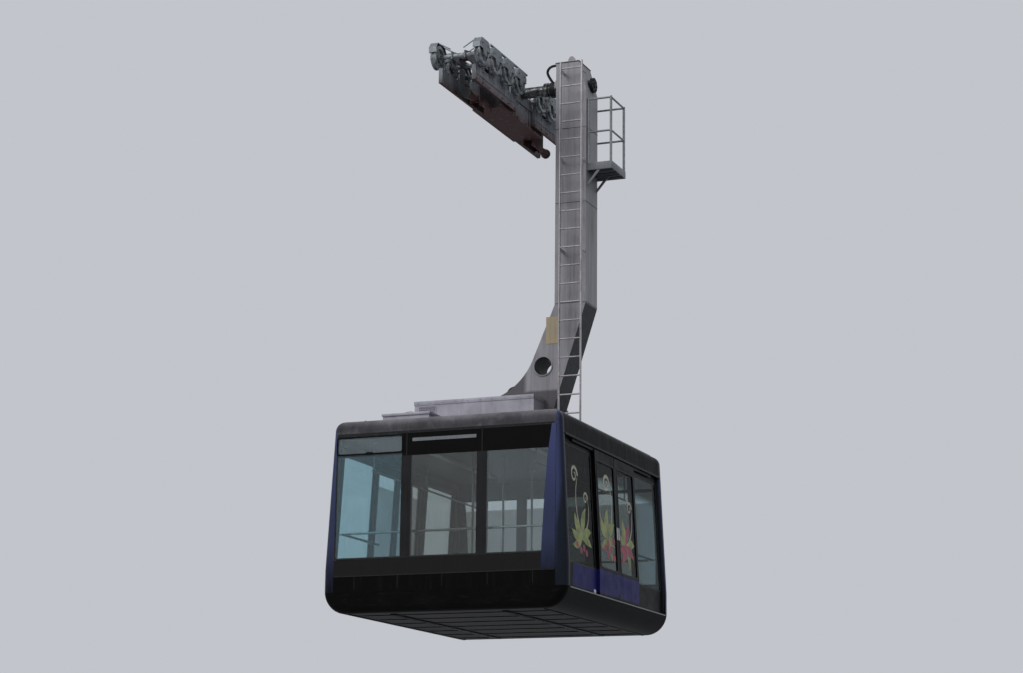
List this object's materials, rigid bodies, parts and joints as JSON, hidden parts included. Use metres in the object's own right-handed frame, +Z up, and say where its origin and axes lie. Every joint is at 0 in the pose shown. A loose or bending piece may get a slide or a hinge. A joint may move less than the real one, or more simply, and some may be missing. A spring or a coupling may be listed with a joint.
{
  "type": "aerial tramway cable car with hanger and carriage",
  "caption": "Large cable car: glazed cabin with sliding doors on a bent box-section hanger, ladder and basket, under a rope carriage with rocking grooved wheels.",
  "frame": {"origin": "midway between the two track ropes at the middle of the carriage, at the ropes' centre height", "axes": "+X the way of travel, +Y to its left, +Z up"},
  "size_m": [4.4, 3.69, 8.77],
  "materials": {
    "cabin_skin": "satin",
    "roof_skin": "satin",
    "corner_paint": "gloss",
    "door_paint": "gloss",
    "window_glass": "clear",
    "inside_trim": "matte",
    "floor_cover": "matte",
    "lamp_cover": "matte",
    "tube_metal": "brushed",
    "hanger_paint": "satin",
    "galvanised": "spangled",
    "black_cap": "satin",
    "plate_paint": "faded",
    "carriage_paint": "satin",
    "wheel_steel": "worn",
    "axle_steel": "greased"
  },
  "bodies": {
    "carriage": {"main_girder": "carriage_paint", "hanger_axle": "axle_steel", "haul_sockets": "galvanised", "walkway_rail": "galvanised"},
    "truck_rear": {"truck_rear": "carriage_paint"},
    "rocker_rear_rear": {"rocker_rear_rear": "carriage_paint"},
    "wheelset_rear_rear_1": {"wheelset_rear_rear_1": "wheel_steel"},
    "wheelset_rear_rear_2": {"wheelset_rear_rear_2": "wheel_steel"},
    "rocker_rear_front": {"rocker_rear_front": "carriage_paint"},
    "wheelset_rear_front_1": {"wheelset_rear_front_1": "wheel_steel"},
    "wheelset_rear_front_2": {"wheelset_rear_front_2": "wheel_steel"},
    "truck_front": {"truck_front": "carriage_paint"},
    "rocker_front_rear": {"rocker_front_rear": "carriage_paint"},
    "wheelset_front_rear_1": {"wheelset_front_rear_1": "wheel_steel"},
    "wheelset_front_rear_2": {"wheelset_front_rear_2": "wheel_steel"},
    "rocker_front_front": {"rocker_front_front": "carriage_paint"},
    "wheelset_front_front_1": {"wheelset_front_front_1": "wheel_steel"},
    "wheelset_front_front_2": {"wheelset_front_front_2": "wheel_steel"},
    "cabin": {"hanger_arm": "hanger_paint", "pivot_cap": "black_cap", "blank_plate": "plate_paint", "ladder": "galvanised", "basket_floor": "galvanised", "basket_rails": "galvanised", "roof_housing": "hanger_paint", "roof_hatch": "roof_skin", "roof_shell": "roof_skin", "ceiling": "inside_trim", "ceiling_lamps": "lamp_cover", "floor_pan": "cabin_skin", "interior_floor": "floor_cover", "handrails": "tube_metal", "attendant_desk": "inside_trim", "end_panel_rear": "cabin_skin", "end_frame_rear": "cabin_skin", "end_glass_rear": "window_glass", "corner_posts_rear": "corner_paint", "end_panel_front": "cabin_skin", "end_frame_front": "cabin_skin", "end_glass_front": "window_glass", "corner_posts_front": "corner_paint", "side_wall_left_rear": "cabin_skin", "side_wall_left_front": "cabin_skin", "side_glass_left": "window_glass", "side_wall_right_rear": "cabin_skin", "side_wall_right_front": "cabin_skin", "side_glass_right": "window_glass", "door_rails": "galvanised"},
    "door_left_rear": {"door_leaf_left_rear": "door_paint", "door_glass_left_rear": "window_glass"},
    "door_left_front": {"door_leaf_left_front": "door_paint", "door_glass_left_front": "window_glass"},
    "door_right_rear": {"door_leaf_right_rear": "door_paint", "door_glass_right_rear": "window_glass"},
    "door_right_front": {"door_leaf_right_front": "door_paint", "door_glass_right_front": "window_glass"}
  },
  "joints": [
    {"name": "hanger_swing", "type": "hinge", "parent": "carriage", "child": "cabin", "pos_m": [0, -1.135, 0.17], "axis": [0, 1, 0], "range_deg": [-25, 25]},
    {"name": "truck_rear_tilt", "type": "hinge", "parent": "carriage", "child": "truck_rear", "pos_m": [-1.18, 0, 0.33], "axis": [0, 1, 0], "range_deg": [-6, 6]},
    {"name": "rocker_rear_rear_tilt", "type": "hinge", "parent": "truck_rear", "child": "rocker_rear_rear", "pos_m": [-1.66, 0, 0.235], "axis": [0, 1, 0], "range_deg": [-7, 7]},
    {"name": "wheelset_rear_rear_1_spin", "type": "hinge", "parent": "rocker_rear_rear", "child": "wheelset_rear_rear_1", "pos_m": [-1.9, 0, 0.185], "axis": [0, 1, 0], "continuous": true},
    {"name": "wheelset_rear_rear_2_spin", "type": "hinge", "parent": "rocker_rear_rear", "child": "wheelset_rear_rear_2", "pos_m": [-1.42, 0, 0.185], "axis": [0, 1, 0], "continuous": true},
    {"name": "rocker_rear_front_tilt", "type": "hinge", "parent": "truck_rear", "child": "rocker_rear_front", "pos_m": [-0.7, 0, 0.235], "axis": [0, 1, 0], "range_deg": [-7, 7]},
    {"name": "wheelset_rear_front_1_spin", "type": "hinge", "parent": "rocker_rear_front", "child": "wheelset_rear_front_1", "pos_m": [-0.94, 0, 0.185], "axis": [0, 1, 0], "continuous": true},
    {"name": "wheelset_rear_front_2_spin", "type": "hinge", "parent": "rocker_rear_front", "child": "wheelset_rear_front_2", "pos_m": [-0.46, 0, 0.185], "axis": [0, 1, 0], "continuous": true},
    {"name": "truck_front_tilt", "type": "hinge", "parent": "carriage", "child": "truck_front", "pos_m": [1.18, 0, 0.33], "axis": [0, 1, 0], "range_deg": [-6, 6]},
    {"name": "rocker_front_rear_tilt", "type": "hinge", "parent": "truck_front", "child": "rocker_front_rear", "pos_m": [0.7, 0, 0.235], "axis": [0, 1, 0], "range_deg": [-7, 7]},
    {"name": "wheelset_front_rear_1_spin", "type": "hinge", "parent": "rocker_front_rear", "child": "wheelset_front_rear_1", "pos_m": [0.46, 0, 0.185], "axis": [0, 1, 0], "continuous": true},
    {"name": "wheelset_front_rear_2_spin", "type": "hinge", "parent": "rocker_front_rear", "child": "wheelset_front_rear_2", "pos_m": [0.94, 0, 0.185], "axis": [0, 1, 0], "continuous": true},
    {"name": "rocker_front_front_tilt", "type": "hinge", "parent": "truck_front", "child": "rocker_front_front", "pos_m": [1.66, 0, 0.235], "axis": [0, 1, 0], "range_deg": [-7, 7]},
    {"name": "wheelset_front_front_1_spin", "type": "hinge", "parent": "rocker_front_front", "child": "wheelset_front_front_1", "pos_m": [1.42, 0, 0.185], "axis": [0, 1, 0], "continuous": true},
    {"name": "wheelset_front_front_2_spin", "type": "hinge", "parent": "rocker_front_front", "child": "wheelset_front_front_2", "pos_m": [1.9, 0, 0.185], "axis": [0, 1, 0], "continuous": true},
    {"name": "door_left_rear_slide", "type": "slide", "parent": "cabin", "child": "door_left_rear", "axis": [-1, 0, 0], "range_m": [0, 0.8]},
    {"name": "door_left_front_slide", "type": "slide", "parent": "cabin", "child": "door_left_front", "axis": [1, 0, 0], "range_m": [0, 0.8]},
    {"name": "door_right_rear_slide", "type": "slide", "parent": "cabin", "child": "door_right_rear", "axis": [-1, 0, 0], "range_m": [0, 0.8]},
    {"name": "door_right_front_slide", "type": "slide", "parent": "cabin", "child": "door_right_front", "axis": [1, 0, 0], "range_m": [0, 0.8]}
  ],
  "couplings": [
    {"joint": "door_left_front_slide", "follows": "door_left_rear_slide", "ratio": 1},
    {"joint": "door_right_front_slide", "follows": "door_right_rear_slide", "ratio": 1}
  ]
}
